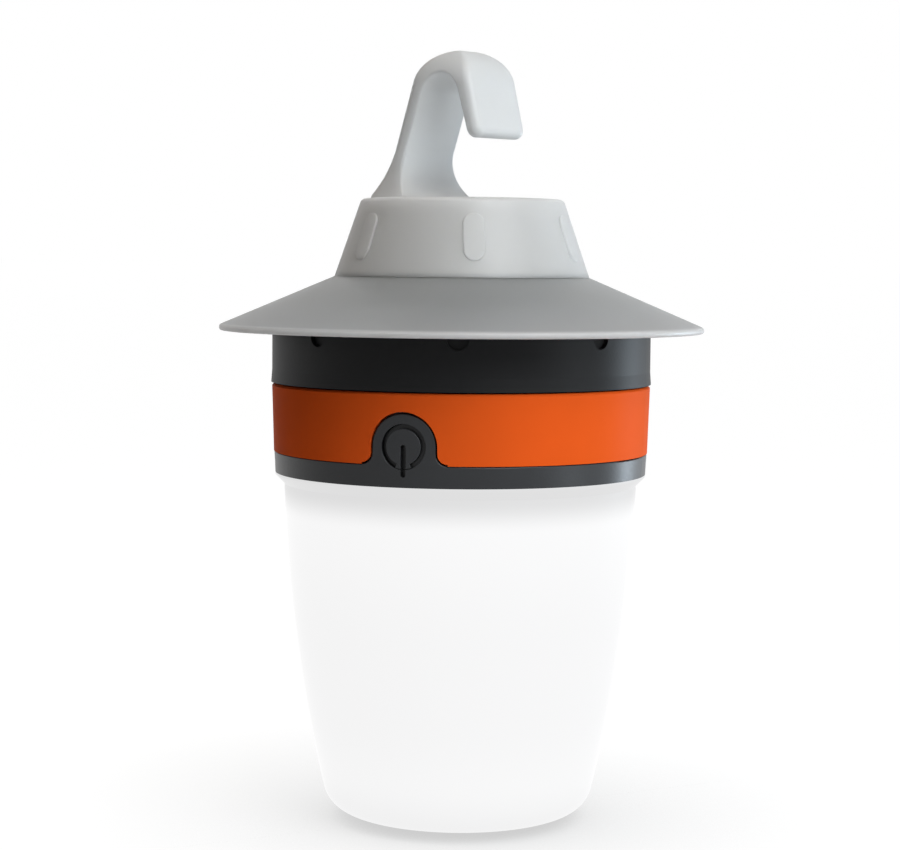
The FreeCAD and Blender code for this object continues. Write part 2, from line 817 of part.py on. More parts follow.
def make_battery_carrier():
    """Two plates joined by a middle column and three ribs."""
    plates = [
        ring(0, carrier_radius, carrier_bottom, carrier_bottom_plate),
        ring(0, carrier_radius, carrier_plate_bottom, carrier_top_plate),
        ring(0, carrier_column_radius, cells_bottom, cell_space),
    ]
    corner = front_point(-carrier_rib_width / 2, carrier_radius - carrier_rib_inset, cells_bottom)
    rib = Part.makeBox(carrier_rib_width, carrier_rib_depth, cell_space, corner)
    return fused(plates + around(rib, 3, rib_azimuth))


def make_cell(upright):
    """Round cell at the front, with its nub up or down."""
    low = cells_bottom + (spring_height if upright else contact_thickness)
    body_low = low if upright else low + cell_nub_height
    nub_low = low + cell_body_length if upright else low
    centre = cell_circle_radius
    body = Part.makeCylinder(cell_radius, cell_body_length, front_point(0, centre, body_low))
    nub = Part.makeCylinder(cell_nub_radius, cell_nub_height, front_point(0, centre, nub_low))
    return fused([body, nub])


def contact_at(azimuth, shape_bottom, height):
    """Flat round contact under or over a cell."""
    foot = front_point(0, cell_circle_radius, shape_bottom)
    return spun(Part.makeCylinder(contact_radius, height, foot), azimuth)


def make_carrier_contacts():
    """Flat contacts at the nub ends, and dished spring contacts at the flat ends."""
    flat = []
    sprung = []
    for index, azimuth in enumerate(cell_azimuths):
        upright = index % 2 == 0
        flat_low = carrier_plate_bottom - contact_thickness if upright else cells_bottom
        flat.append(contact_at(azimuth, flat_low, contact_thickness))
        spring_low = cells_bottom if upright else carrier_plate_bottom - spring_height
        dish = dished_spring()
        dish.translate(front_point(0, cell_circle_radius, spring_low))
        sprung.append(spun(dish, azimuth))
    return Part.makeCompound(flat), Part.makeCompound(sprung)


def dished_spring():
    """Dished ring, as tall as the squeezed spring."""
    half = contact_radius / 2
    sheet = spring_height / 2
    return turned([
        (half, sheet),
        (contact_radius, 0),
        (contact_radius, sheet),
        (half, spring_height),
    ])


def make_carrier_terminals():
    """Middle stud and outer ring under the carrier."""
    stud = ring(0, stud_radius, carrier_bottom - stud_height, stud_height)
    band = ring(
        terminal_ring_radius - terminal_ring_width, terminal_ring_radius,
        carrier_bottom - terminal_ring_thickness, terminal_ring_thickness,
    )
    return Part.makeCompound([stud, band])


def shade_underside(radius):
    """Height of the shade's underside at a radius."""
    return crown_bottom - brim_wall_down - (radius - crown_base_radius) * brim_fall


def make_battery_cap():
    """Twist-off cap: grip skirt, shoulder under the shade and a tapered plug round the cells."""
    shoulder_out = collar_radius - cap_corner
    shoulder_in = cap_seat_radius + cap_seat_chamfer
    shoulder_top_out = shade_underside(shoulder_out) - shoulder_gap
    shoulder_top_in = shade_underside(shoulder_in) - shoulder_gap
    skirt_top = shoulder_top_out - cap_corner_height
    outer = turned([
        (0, cap_bottom),
        (collar_radius + cap_flare, cap_bottom),
        (collar_radius, cap_bottom + cap_flare_height),
        (collar_radius, skirt_top),
        (shoulder_out, shoulder_top_out),
        (shoulder_in, shoulder_top_in),
        (cap_seat_radius, cap_seat),
        (cap_plug_base_radius, cap_seat),
        (cap_plug_top_radius, cap_top),
        (0, cap_top),
    ])
    edge = [item for item in outer.Edges if is_circle_at(item, cap_plug_top_radius, cap_top)]
    outer = outer.makeFillet(cap_top_round, edge)
    plug_run = (cap_plug_base_radius - cap_plug_top_radius) / (cap_top - cap_seat)
    inner_plug_top = cap_plug_top_radius - cap_wall
    inner_seat = cap_seat - cap_wall
    shoulder_wall = cap_wall / math.cos(math.radians(brim_slope))
    inside = turned([
        (0, cap_bottom),
        (cap_skirt_inner_radius, cap_bottom),
        (cap_skirt_inner_radius, skirt_top - cap_wall),
        (shoulder_out - cap_wall, shoulder_top_out - shoulder_wall),
        (shoulder_in, shoulder_top_in - shoulder_wall),
        (inner_plug_top + plug_run * (cap_inner_top - inner_seat), inner_seat),
        (inner_plug_top, cap_inner_top),
        (0, cap_inner_top),
    ])
    body = outer.cut(inside)
    lugs = []
    for step in range(bayonet_count):
        middle = step * 360.0 / bayonet_count
        lugs.append(sector(
            neck_radius + running_gap, cap_skirt_inner_radius + root_overlap, lug_low, lug_height,
            middle - lug_span / 2, middle + lug_span / 2,
        ))
    body = fused([body] + lugs)
    grip_low = skirt_top - grip_drop
    grip = front_slot(
        grip_width, grip_low, skirt_top + grip_width, collar_radius + overcut, collar_radius - grip_depth,
    )
    for cutter in around(grip, grip_count, grip_azimuth):
        body = body.cut(cutter)
    return body


def make_cap_seal():
    """Round sealing ring on the housing's shoulder, inside the cap's skirt."""
    middle_radius = (cap_skirt_inner_radius + neck_radius) / 2
    return Part.makeTorus(middle_radius, seal_section, FreeCAD.Vector(0, 0, seal_level))


def crown_radius(height):
    """Outer radius of the crown's wall at a height."""
    return crown_base_radius - (height - crown_bottom) * crown_taper


def make_shade_brim():
    """Conical shade with a flat seat on the cap and a collar up inside the crown."""
    rim_top = crown_bottom - (brim_radius - crown_base_radius) * brim_fall
    rim_low = shade_underside(brim_radius)
    collar_top = crown_bottom + brim_collar_height
    collar_top_radius = brim_collar_radius - brim_collar_height * crown_taper
    seat_end = cap_seat_radius + cap_seat_chamfer
    body = turned([
        (brim_collar_radius - brim_collar_wall, cap_seat),
        (cap_seat_radius, cap_seat),
        (seat_end, shade_underside(seat_end)),
        (brim_radius, rim_low),
        (brim_radius, rim_top),
        (crown_base_radius, crown_bottom),
        (brim_collar_radius, crown_bottom),
        (collar_top_radius, collar_top),
        (collar_top_radius - brim_collar_wall, collar_top),
    ])
    rim = [edge for edge in body.Edges
           if is_circle_at(edge, brim_radius, rim_low) or is_circle_at(edge, brim_radius, rim_top)]
    return body.makeFillet(brim_edge_round, rim)


def make_crown():
    """Hollow tapered crown with raised grip pads."""
    outer = turned([
        (0, crown_bottom),
        (crown_base_radius, crown_bottom),
        (crown_radius(crown_top), crown_top),
        (0, crown_top),
    ])
    edge = [item for item in outer.Edges if is_circle_at(item, crown_radius(crown_top), crown_top)]
    outer = outer.makeFillet(crown_edge_round, edge)
    inside = turned([
        (0, crown_bottom),
        (crown_base_inside, crown_bottom),
        (crown_top_inside, crown_inner_top),
        (0, crown_inner_top),
    ])
    middle = (crown_bottom + crown_top) / 2
    pad = front_slot(pad_width, -pad_height / 2, pad_height / 2, pad_proud, -crown_wall / 2)
    face_edges = [item for item in pad.Edges if all(abs(p.y + pad_proud) < touch for p in item.discretize(3))]
    pad = pad.makeFillet(pad_edge_round, face_edges)
    pad.rotate(CENTRE, SIDEWAYS, -crown_draft)
    pad.translate(front_point(0, crown_radius(middle), middle))
    return fused([outer.cut(inside)] + around(pad, pad_count, pad_azimuth))


def tangent_arc(start, heading, end):
    """Arc that leaves the start along a heading and passes through the end."""
    chord = end - start
    heading = heading.normalize()
    side = chord - heading * chord.dot(heading)
    side = side.normalize()
    radius = chord.dot(chord) / (2 * chord.dot(side))
    centre = start + side * radius
    outward = (start - centre) + (end - centre)
    middle = centre + outward.normalize() * radius
    return Part.Arc(start, middle, end).toShape()


def lean_start(radius, centre, lean, side):
    """Where an arc over the hook's middle runs into a straight face that leans outwards."""
    return FreeCAD.Vector(
        side * radius * math.cos(math.radians(lean)), 0, centre + radius * math.sin(math.radians(lean)),
    )


def down_the_lean(start, lean, side, height):
    """Point of a leaning face at a height."""
    return FreeCAD.Vector(start.x + side * (start.z - height) * math.tan(math.radians(lean)), 0, height)


def hook_side_edges():
    """Side view of the hook in the X-Z plane, tip to +X: edges of the throat side, the back and the ends."""
    tip = throat_centre - tip_drop
    back_centre = hook_top - hook_back_radius

    def at(across, height):
        return FreeCAD.Vector(across, 0, height)

    throat_right = lean_start(throat_radius, throat_centre, throat_lean, 1)
    throat_left = lean_start(throat_radius, throat_centre, stem_lean, -1)
    back_right = lean_start(hook_back_radius, back_centre, back_lean, 1)
    back_left = lean_start(hook_back_radius, back_centre, stem_lean, -1)
    tip_inner = down_the_lean(throat_right, throat_lean, 1, tip)
    tip_outer = down_the_lean(back_right, back_lean, 1, tip)
    stem_inner = down_the_lean(throat_left, stem_lean, -1, crown_top + foot_flare_height)
    stem_outer = down_the_lean(back_left, stem_lean, -1, crown_top + back_flare_height)
    foot_inner = at(stem_inner.x + foot_flare, crown_top)
    foot_outer = at(stem_outer.x - back_flare, crown_top)
    root_inner = at(foot_inner.x, hook_root)
    root_outer = at(foot_outer.x, hook_root)
    throat_side = [
        Part.makeLine(tip_inner, throat_right),
        Part.Arc(throat_right, at(0, throat_centre + throat_radius), throat_left).toShape(),
        Part.makeLine(throat_left, stem_inner),
        tangent_arc(stem_inner, stem_inner - throat_left, foot_inner),
        Part.makeLine(foot_inner, root_inner),
    ]
    back_side = [
        Part.makeLine(root_outer, foot_outer),
        tangent_arc(stem_outer, stem_outer - back_left, foot_outer),
        Part.makeLine(stem_outer, back_left),
        Part.Arc(back_left, at(0, hook_top), back_right).toShape(),
        Part.makeLine(back_right, tip_outer),
    ]
    ends = [Part.makeLine(root_inner, root_outer), Part.makeLine(tip_outer, tip_inner)]
    return throat_side, back_side, ends


def hook_front_outline():
    """Front view of the hook in the Y-Z plane: sides that round over at the top and flare at the foot."""
    half = hook_width / 2
    foot = half + foot_flare
    flare_level = crown_top + foot_flare_height
    top = hook_top + hook_shoulder_lift
    crest = half - hook_shoulder_round
    shoulder = top - hook_shoulder_round

    def at(across, height):
        return FreeCAD.Vector(0, across, height)

    edges = [
        Part.makeLine(at(-crest, top), at(crest, top)),
        Part.makeLine(at(-foot, hook_root), at(foot, hook_root)),
    ]
    for side in (-1, 1):
        edges.append(tangent_arc(at(side * half, shoulder), UP, at(side * crest, top)))
        edges.append(Part.makeLine(at(side * half, shoulder), at(side * half, flare_level)))
        edges.append(tangent_arc(at(side * half, flare_level), UP * -1, at(side * foot, crown_top)))
        edges.append(Part.makeLine(at(side * foot, crown_top), at(side * foot, hook_root)))
    return Part.Face(Part.Wire(Part.sortEdges(edges)[0]))


def follows(edge, outline):
    """Whether an edge, seen from the side, runs along one of the outline's edges."""
    seen = [Part.Vertex(p.x, 0, p.z) for p in edge.discretize(5)]
    return any(all(spot.distToShape(line)[0] < touch for spot in seen) for line in outline)


def make_hook():
    """Hook strip over the throat, with its edges rounded and its tip towards the hook's azimuth."""
    throat_side, back_side, ends = hook_side_edges()
    wide = hook_width + 2 * foot_flare + overcut
    side = Part.Face(Part.Wire(Part.sortEdges(throat_side + back_side + ends)[0]))
    side.translate(INWARD * (-wide / 2))
    deep = 4 * hook_back_radius
    front = hook_front_outline()
    front.translate(SIDEWAYS * -deep)
    hook = side.extrude(INWARD * wide).common(front.extrude(SIDEWAYS * (2 * deep))).removeSplitter()
    rounds = [(ends[1:], tip_corner_round), (back_side, hook_edge_round), (throat_side, throat_edge_round)]
    for outline, radius in rounds:
        edges = [edge for edge in hook.Edges if is_off_middle(edge) and follows(edge, outline)]
        hook = hook.makeFillet(radius, edges)
    hook.rotate(CENTRE, UP, hook_azimuth - 90)
    return hook.common(ring(0, crown_radius(crown_top) - crown_edge_round, hook_root, hook_top - hook_root))


def is_off_middle(edge):
    """Whether an edge keeps to one side of the strip and does not cross its middle."""
    return all(abs(p.y) > hook_width / 8 for p in edge.discretize(5))


def make_hook_cap():
    """Crown and hook in one moulding."""
    return fused([make_crown(), make_hook()])


def main():
    """Build every piece and write it under its node's name."""
    light_leads, battery_leads = make_leads()
    flat_contacts, spring_contacts = make_carrier_contacts()
    pieces = {
        "globe": make_globe(),
        "globe_seal": make_globe_seal(),
        "lower_ring": make_lower_ring(),
        "orange_band": make_orange_band(),
        "power_button": make_power_button(),
        "housing": make_housing(),
        "heat_spreader": make_heat_spreader(),
        "led_board": make_led_board(),
        "led_emitter": make_led_emitter(),
        "led_lens": make_led_lens(),
        "reflector": make_reflector(),
        "light_screws": make_light_screws(),
        "driver_board": make_driver_board(),
        "tact_switch": make_tact_switch(),
        "switch_plunger": make_switch_plunger(),
        "inductor": make_inductor(),
        "driver_chip": make_driver_chip(),
        "capacitors": make_capacitors(),
        "light_leads": light_leads,
        "battery_leads": battery_leads,
        "contact_board": make_contact_board(),
        "contact_fingers": make_contact_fingers(),
        "battery_well": make_battery_well(),
        "well_screws": make_well_screws(),
        "battery_carrier": make_battery_carrier(),
        "carrier_terminals": make_carrier_terminals(),
        "flat_contacts": flat_contacts,
        "spring_contacts": spring_contacts,
        "cap_seal": make_cap_seal(),
        "battery_cap": make_battery_cap(),
        "shade_brim": make_shade_brim(),
        "hook_cap": make_hook_cap(),
    }
    for index, azimuth in enumerate(cell_azimuths):
        pieces["battery_cell_%d" % (index + 1)] = spun(make_cell(index % 2 == 0), azimuth)
    os.makedirs("parts", exist_ok=True)
    for name, shape in pieces.items():
        shape.exportStep("parts/%s.step" % name)
        print(name, len(shape.Solids), shape.isValid(), round(shape.Volume, 1))


main()
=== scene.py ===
"""Finishes and studio stage for the hanging camping lantern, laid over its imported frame."""

import math

import bpy
from mathutils import Matrix, Vector


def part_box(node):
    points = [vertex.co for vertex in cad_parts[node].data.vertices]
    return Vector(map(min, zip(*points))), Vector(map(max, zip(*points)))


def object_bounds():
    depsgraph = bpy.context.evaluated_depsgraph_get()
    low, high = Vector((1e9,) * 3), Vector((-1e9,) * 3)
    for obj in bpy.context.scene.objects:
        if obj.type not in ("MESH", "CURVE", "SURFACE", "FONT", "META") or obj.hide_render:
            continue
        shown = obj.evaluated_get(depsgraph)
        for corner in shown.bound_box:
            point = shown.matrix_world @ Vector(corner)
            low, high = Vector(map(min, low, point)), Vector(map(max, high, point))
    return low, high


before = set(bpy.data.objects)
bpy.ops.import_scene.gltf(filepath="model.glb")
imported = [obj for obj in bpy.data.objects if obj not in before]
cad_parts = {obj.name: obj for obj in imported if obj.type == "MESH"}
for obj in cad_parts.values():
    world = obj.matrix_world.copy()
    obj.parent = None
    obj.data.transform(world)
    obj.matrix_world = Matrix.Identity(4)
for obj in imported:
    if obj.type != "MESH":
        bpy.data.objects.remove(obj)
cad_low, cad_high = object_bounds()

bl_info = {
    "name": "Camping lantern",
    "version": (1, 0, 0),
    "blender": (4, 5, 0),
    "location": "View3D > Sidebar > Lantern",
    "description": "Gives a hanging camping lantern its finishes and sets a plain studio stage round it",
    "category": "Object",
}

# Heights in metres, read from the frame
globe_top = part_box("lower_ring")[0].z
brim_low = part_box("shade_brim")[0].z
crown_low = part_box("hook_cap")[0].z

# Glow of the globe: depths below the collar, heights above the foot, and shares of the full glow
bead_shade_start = 0.0100
bead_shade_full = 0.0030
bead_share = 0.78
foot_shade_height = 0.012
foot_share = 0.95
spot_foot = 0.006
spot_middle = 0.014
spot_top = 0.026
spot_share = 0.4
hot_start = 0.55 * globe_top
hot_full = 0.95 * globe_top
glow_least = 0.985
glow_most = 1.015

# Heights above a piece's lowest edge between which its colours run into each other: the brim's edge is a
# painted highlight, the crown's foot a painted shade, and the hook takes its own tone higher up
brim_edge_highlight = (0.0010, 0.0018)
crown_foot_shade = (0.0006, 0.0012)
hook_start = (0.017, 0.028)

# Surfaces of the pieces
gloss_spread = 0.1
relief_depth = 0.0002
globe_roughness = 0.42
band_roughness = 0.50
rubber_roughness = 0.36
cap_roughness = 0.48
frosted_roughness = 0.38
metal_grain = 3000.0      # per metre
emitter_strength = 2.0
groove_reach = 0.0015     # how far the rubber looks for walls that shade it

# Floor: sizes in metres, and strengths where 1 is white
floor_half = 60.0
floor_drop = 0.0003       # keeps the floor clear of the foot
floor_white = 1.15
floor_shaded = 0.62
floor_white_share = 0.85
shadow_reach = 0.08
shadow_rays = 4


def colour_property(name, description, default):
    """Colour that a user can change."""
    return bpy.props.FloatVectorProperty(
        name=name, description=description, default=default, size=3, min=0.0, max=1.0, subtype="COLOR",
    )


class LanternFinishes(bpy.types.PropertyGroup):
    """Colours of the lantern's visible pieces."""

    globe_colour: colour_property("Globe", "Frosted plastic of the globe", (0.045, 0.0455, 0.0465))
    globe_glow: colour_property("Glow", "Light that the globe lets through", (1.0, 0.998, 1.0))
    glow_strength: bpy.props.FloatProperty(
        name="Glow strength", description="Brightness of the lit globe", default=0.90, min=0.0, max=5.0,
    )
    # The brim is the same frosted plastic as the crown, painted much darker: painted shade
    brim_painted_shade_colour: colour_property("Brim", "Frosted plastic of the shade's brim", (0.32, 0.330, 0.332))
    crown_colour: colour_property("Crown", "Frosted plastic of the crown", (0.70, 0.70, 0.695))
    hook_colour: colour_property("Hook", "Frosted plastic of the hook", (0.72, 0.73, 0.73))
    # Edge colour painted on the hood: a painted highlight along the brim's edge, lighter than the brim, and a
    # painted shade at the crown's foot, darker than the crown
    painted_edge_colour: colour_property("Rims", "Edges of the brim and crown, which gather light", (0.62, 0.63, 0.63))
    cap_colour: colour_property("Cap", "Charcoal plastic of the battery cap", (0.010, 0.0102, 0.0107))
    band_colour: colour_property("Band", "Coloured band of the collar", (0.70, 0.090, 0.011))
    rubber_colour: colour_property("Rubber", "Rubber of the ring and the button", (0.026, 0.027, 0.029))
    grain_size: bpy.props.FloatProperty(
        name="Grain size", description="Size of the mould's grain", default=0.0006, min=0.00005, max=0.01,
        unit="LENGTH", precision=5,
    )


class LanternStage(bpy.types.PropertyGroup):
    """Camera and lights round the lantern."""

    camera_azimuth: bpy.props.FloatProperty(
        name="Azimuth", description="Camera's turn round the lantern, from its button towards +X",
        default=math.radians(16.6), subtype="ANGLE",
    )
    camera_pitch: bpy.props.FloatProperty(
        name="Pitch", description="How far the camera looks down",
        default=math.radians(4.12), subtype="ANGLE",
    )
    camera_yaw: bpy.props.FloatProperty(
        name="Yaw", description="How far the camera looks past the axis",
        default=math.radians(0.27), subtype="ANGLE",
    )
    camera_roll: bpy.props.FloatProperty(
        name="Roll", description="Turn of the camera about its own axis",
        default=math.radians(0.49), subtype="ANGLE",
    )
    camera_distance: bpy.props.FloatProperty(
        name="Distance", description="Level distance from the lantern's axis", default=0.516, unit="LENGTH",
    )
    camera_height: bpy.props.FloatProperty(
        name="Height", description="Camera's height above the globe's foot", default=0.127, unit="LENGTH",
    )
    camera_lens: bpy.props.FloatProperty(
        name="Lens", description="Focal length on a 36 mm sensor", default=90.5, unit="CAMERA",
    )
    key_power: bpy.props.FloatProperty(
        name="Key light", description="Power of the large light above on the right", default=4.4, min=0.0,
        subtype="POWER",
    )
    side_power: bpy.props.FloatProperty(
        name="Side light", description="Power of the low light on the right", default=0.75, min=0.0,
        subtype="POWER",
    )
    rim_power: bpy.props.FloatProperty(
        name="Rim light", description="Power of the light behind on the right", default=1.0, min=0.0,
        subtype="POWER",
    )
    fill_power: bpy.props.FloatProperty(
        name="Fill light", description="Power of the warm light above on the left", default=0.95, min=0.0,
        subtype="POWER",
    )
    sky_strength: bpy.props.FloatProperty(
        name="Ambient", description="Even light from all round", default=0.06, min=0.0,
    )
    floor_colour: colour_property("Floor", "Plain pale floor", (0.55, 0.55, 0.55))


def new_group(name, inputs, outputs):
    """Empty shader node group with named sockets."""
    group = bpy.data.node_groups.new(name, "ShaderNodeTree")
    for label, kind, default in inputs:
        socket = group.interface.new_socket(name=label, in_out="INPUT", socket_type=kind)
        socket.default_value = default
    for label, kind in outputs:
        group.interface.new_socket(name=label, in_out="OUTPUT", socket_type=kind)
    start = group.nodes.new("NodeGroupInput")
    end = group.nodes.new("NodeGroupOutput")
    return group, start, end


def moulded_grain():
    """Fine grain of a moulded surface: a height for bumps and a slow drift for colour and gloss."""
    name = "Moulded grain"
    if name in bpy.data.node_groups:
        return bpy.data.node_groups[name]
    group, start, end = new_group(
        name,
        [("Grain per metre", "NodeSocketFloat", 1600.0), ("Drift per metre", "NodeSocketFloat", 40.0)],
        [("Height", "NodeSocketFloat"), ("Drift", "NodeSocketFloat")],
    )
    place = group.nodes.new("ShaderNodeTexCoord")
    grain = group.nodes.new("ShaderNodeTexNoise")
    grain.inputs["Detail"].default_value = 3.0
    grain.inputs["Roughness"].default_value = 0.6
    drift = group.nodes.new("ShaderNodeTexNoise")
    drift.inputs["Detail"].default_value = 2.0
    link = group.links.new
    link(place.outputs["Object"], grain.inputs["Vector"])
    link(place.outputs["Object"], drift.inputs["Vector"])
    link(start.outputs["Grain per metre"], grain.inputs["Scale"])
    link(start.outputs["Drift per metre"], drift.inputs["Scale"])
    link(grain.outputs["Fac"], end.inputs["Height"])
    link(drift.outputs["Fac"], end.inputs["Drift"])
    return group


def varied_colour():
    """A colour that drifts a little between a darker and a lighter tone."""
    name = "Varied colour"
    if name in bpy.data.node_groups:
        return bpy.data.node_groups[name]
    group, start, end = new_group(
        name,
        [
            ("Colour", "NodeSocketColor", (0.5, 0.5, 0.5, 1.0)),
            ("Drift", "NodeSocketFloat", 0.5),
            ("Darkest", "NodeSocketFloat", 0.9),
            ("Lightest", "NodeSocketFloat", 1.1),
        ],
        [("Colour", "NodeSocketColor")],
    )
    spread = group.nodes.new("ShaderNodeMapRange")
    spread.inputs["From Min"].default_value = 0.3
    spread.inputs["From Max"].default_value = 0.7
    tone = group.nodes.new("ShaderNodeHueSaturation")
    link = group.links.new
    link(start.outputs["Drift"], spread.inputs["Value"])
    link(start.outputs["Darkest"], spread.inputs["To Min"])
    link(start.outputs["Lightest"], spread.inputs["To Max"])
    link(spread.outputs["Result"], tone.inputs["Value"])
    link(start.outputs["Colour"], tone.inputs["Color"])
    link(tone.outputs["Color"], end.inputs["Colour"])
    return group


def height_mask():
    """Mask that climbs from nothing to full between two heights of a piece."""
    name = "Height mask"
    if name in bpy.data.node_groups:
        return bpy.data.node_groups[name]
    group, start, end = new_group(
        name,
        [("Low", "NodeSocketFloat", 0.0), ("High", "NodeSocketFloat", 1.0)],
        [("Mask", "NodeSocketFloat")],
    )
    place = group.nodes.new("ShaderNodeTexCoord")
    split = group.nodes.new("ShaderNodeSeparateXYZ")
    climb = group.nodes.new("ShaderNodeMapRange")
    climb.interpolation_type = "SMOOTHSTEP"
    link = group.links.new
    link(place.outputs["Object"], split.inputs["Vector"])
    link(split.outputs["Z"], climb.inputs["Value"])
    link(start.outputs["Low"], climb.inputs["From Min"])
    link(start.outputs["High"], climb.inputs["From Max"])
    link(climb.outputs["Result"], end.inputs["Mask"])
    return group


def mask_between(tree, low, high):
    """Output of a height mask placed in a material."""
    node = place_group(tree, height_mask())
    node.inputs["Low"].default_value = low
    node.inputs["High"].default_value = high
    return node.outputs["Mask"]


def place_group(tree, group):
    """Node that uses a group in a material."""
    node = tree.nodes.new("ShaderNodeGroup")
    node.node_tree = group
    return node


def moulded_material(name, colour, roughness, settings, grain=1600.0, bump=0.05, drift=40.0, spread=0.08):
    """Drifting colour and gloss with a fine grain. Settings go on the shader's own sockets."""
    material = bpy.data.materials.new(name)
    material.use_nodes = True
    material.diffuse_color = (*colour, 1.0)
    tree = material.node_tree
    shader = tree.nodes["Principled BSDF"]
    for socket, value in settings.items():
        shader.inputs[socket].default_value = value
    surface = place_group(tree, moulded_grain())
    surface.inputs["Grain per metre"].default_value = grain
    surface.inputs["Drift per metre"].default_value = drift
    paint = place_group(tree, varied_colour())
    paint.inputs["Colour"].default_value = (*colour, 1.0)
    paint.inputs["Darkest"].default_value = 1.0 - spread
    paint.inputs["Lightest"].default_value = 1.0 + spread
    gloss = tree.nodes.new("ShaderNodeMapRange")
    gloss.inputs["To Min"].default_value = roughness * (1.0 - gloss_spread)
    gloss.inputs["To Max"].default_value = roughness * (1.0 + gloss_spread)
    relief = tree.nodes.new("ShaderNodeBump")
    relief.inputs["Strength"].default_value = bump
    relief.inputs["Distance"].default_value = relief_depth
    link = tree.links.new
    link(surface.outputs["Drift"], paint.inputs["Drift"])
    link(surface.outputs["Drift"], gloss.inputs["Value"])
    link(surface.outputs["Height"], relief.inputs["Height"])
    link(paint.outputs["Colour"], shader.inputs["Base Color"])
    link(gloss.outputs["Result"], shader.inputs["Roughness"])
    link(relief.outputs["Normal"], shader.inputs["Normal"])
    return material


def metal_material(name, colour, roughness):
    """Metal surface with a finer grain than a moulding's."""
    return moulded_material(name, colour, roughness, {"Metallic": 1.0}, grain=metal_grain)


def paint_nodes(material, *names):
    """Give CAD nodes a material."""
    for name in names:
        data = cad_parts[name].data
        data.materials.clear()
        data.materials.append(material)


def finishes():
    """The scene's finish settings."""
    return bpy.context.scene.lantern_finishes


class DressGlobe(bpy.types.Operator):
    """Frosted globe, lit from inside"""

    bl_idname = "lantern.dress_globe"
    bl_label = "Dress globe"

    def execute(self, context):
        choice = finishes()
        material = moulded_material(
            "Frosted globe",
            tuple(choice.globe_colour),
            globe_roughness,
            {"Specular IOR Level": 0.01, "Emission Strength": choice.glow_strength},
            grain=1.0 / choice.grain_size,
            bump=0.03,
            spread=0.01,
        )
        self.add_glow(material, choice)
        paint_nodes(material, "globe")
        return {"FINISHED"}

    def add_glow(self, material, choice):
        """Glow by height: strongest under the collar, a faint spot above the foot, weaker at both ends."""
        tree = material.node_tree
        shader = tree.nodes["Principled BSDF"]
        link = tree.links.new
        low_spot = tree.nodes.new("ShaderNodeMath")
        low_spot.operation = "SUBTRACT"
        spots = tree.nodes.new("ShaderNodeMath")
        spots.operation = "MULTIPLY_ADD"
        spots.inputs[1].default_value = spot_share
        amount = tree.nodes.new("ShaderNodeMapRange")
        amount.inputs["To Min"].default_value = glow_least
        amount.inputs["To Max"].default_value = glow_most
        bead = self.dimmed(tree, globe_top - bead_shade_start, globe_top - bead_shade_full, bead_share)
        foot = self.dimmed(tree, foot_shade_height, 0.0, foot_share)
        ends = tree.nodes.new("ShaderNodeMath")
        ends.operation = "MULTIPLY"
        total = tree.nodes.new("ShaderNodeMath")
        total.operation = "MULTIPLY"
        tint = tree.nodes.new("ShaderNodeHueSaturation")
        tint.inputs["Color"].default_value = (*choice.globe_glow, 1.0)
        link(mask_between(tree, spot_foot, spot_middle), low_spot.inputs[0])
        link(mask_between(tree, spot_middle, spot_top), low_spot.inputs[1])
        link(low_spot.outputs["Value"], spots.inputs[0])
        link(mask_between(tree, hot_start, hot_full), spots.inputs[2])
        link(spots.outputs["Value"], amount.inputs["Value"])
        link(bead, ends.inputs[0])
        link(foot, ends.inputs[1])
        link(amount.outputs["Result"], total.inputs[0])
        link(ends.outputs["Value"], total.inputs[1])
        link(total.outputs["Value"], tint.inputs["Value"])
        link(tint.outputs["Color"], shader.inputs["Emission Color"])

    def dimmed(self, tree, bright, dim, share):
        """Factor that falls from one to a share between two heights."""
        fall = tree.nodes.new("ShaderNodeMapRange")
        low = min(bright, dim)
        high = max(bright, dim)
        fall.inputs["To Min"].default_value = share if dim == low else 1.0
        fall.inputs["To Max"].default_value = share if dim == high else 1.0
        tree.links.new(mask_between(tree, low, high), fall.inputs["Value"])
        return fall.outputs["Result"]


class DressCollar(bpy.types.Operator):
    """Coloured band, rubber ring and power button"""

    bl_idname = "lantern.dress_collar"
    bl_label = "Dress collar"

    def execute(self, context):
        choice = finishes()
        band = moulded_material(
            "Coloured band", tuple(choice.band_colour), band_roughness, {"Specular IOR Level": 0.01},
            grain=1.0 / choice.grain_size, bump=0.02, spread=0.04,
        )
        rubber = moulded_material(
            "Collar rubber", tuple(choice.rubber_colour), rubber_roughness, {"Specular IOR Level": 0.22},
            grain=1.0 / choice.grain_size, bump=0.08, spread=0.08,
        )
        self.darken_grooves(rubber)
        paint_nodes(band, "orange_band")
        paint_nodes(rubber, "lower_ring", "power_button")
        return {"FINISHED"}

    def darken_grooves(self, material):
        """Darken the rubber in seams and in the button's symbol, where near walls shade it."""
        tree = material.node_tree
        shader = tree.nodes["Principled BSDF"]
        paint = shader.inputs["Base Color"].links[0].from_node
        shade = tree.nodes.new("ShaderNodeAmbientOcclusion")
        shade.inputs["Distance"].default_value = groove_reach
        tree.links.new(paint.outputs["Colour"], shade.inputs["Color"])
        tree.links.new(shade.outputs["Color"], shader.inputs["Base Color"])


class DressCap(bpy.types.Operator):
    """Charcoal battery cap"""

    bl_idname = "lantern.dress_cap"
    bl_label = "Dress battery cap"

    def execute(self, context):
        choice = finishes()
        material = moulded_material(
            "Charcoal plastic", tuple(choice.cap_colour), cap_roughness, {"Specular IOR Level": 0.10},
            grain=1.0 / choice.grain_size, bump=0.10, spread=0.08,
        )
        paint_nodes(material, "battery_cap")
        return {"FINISHED"}


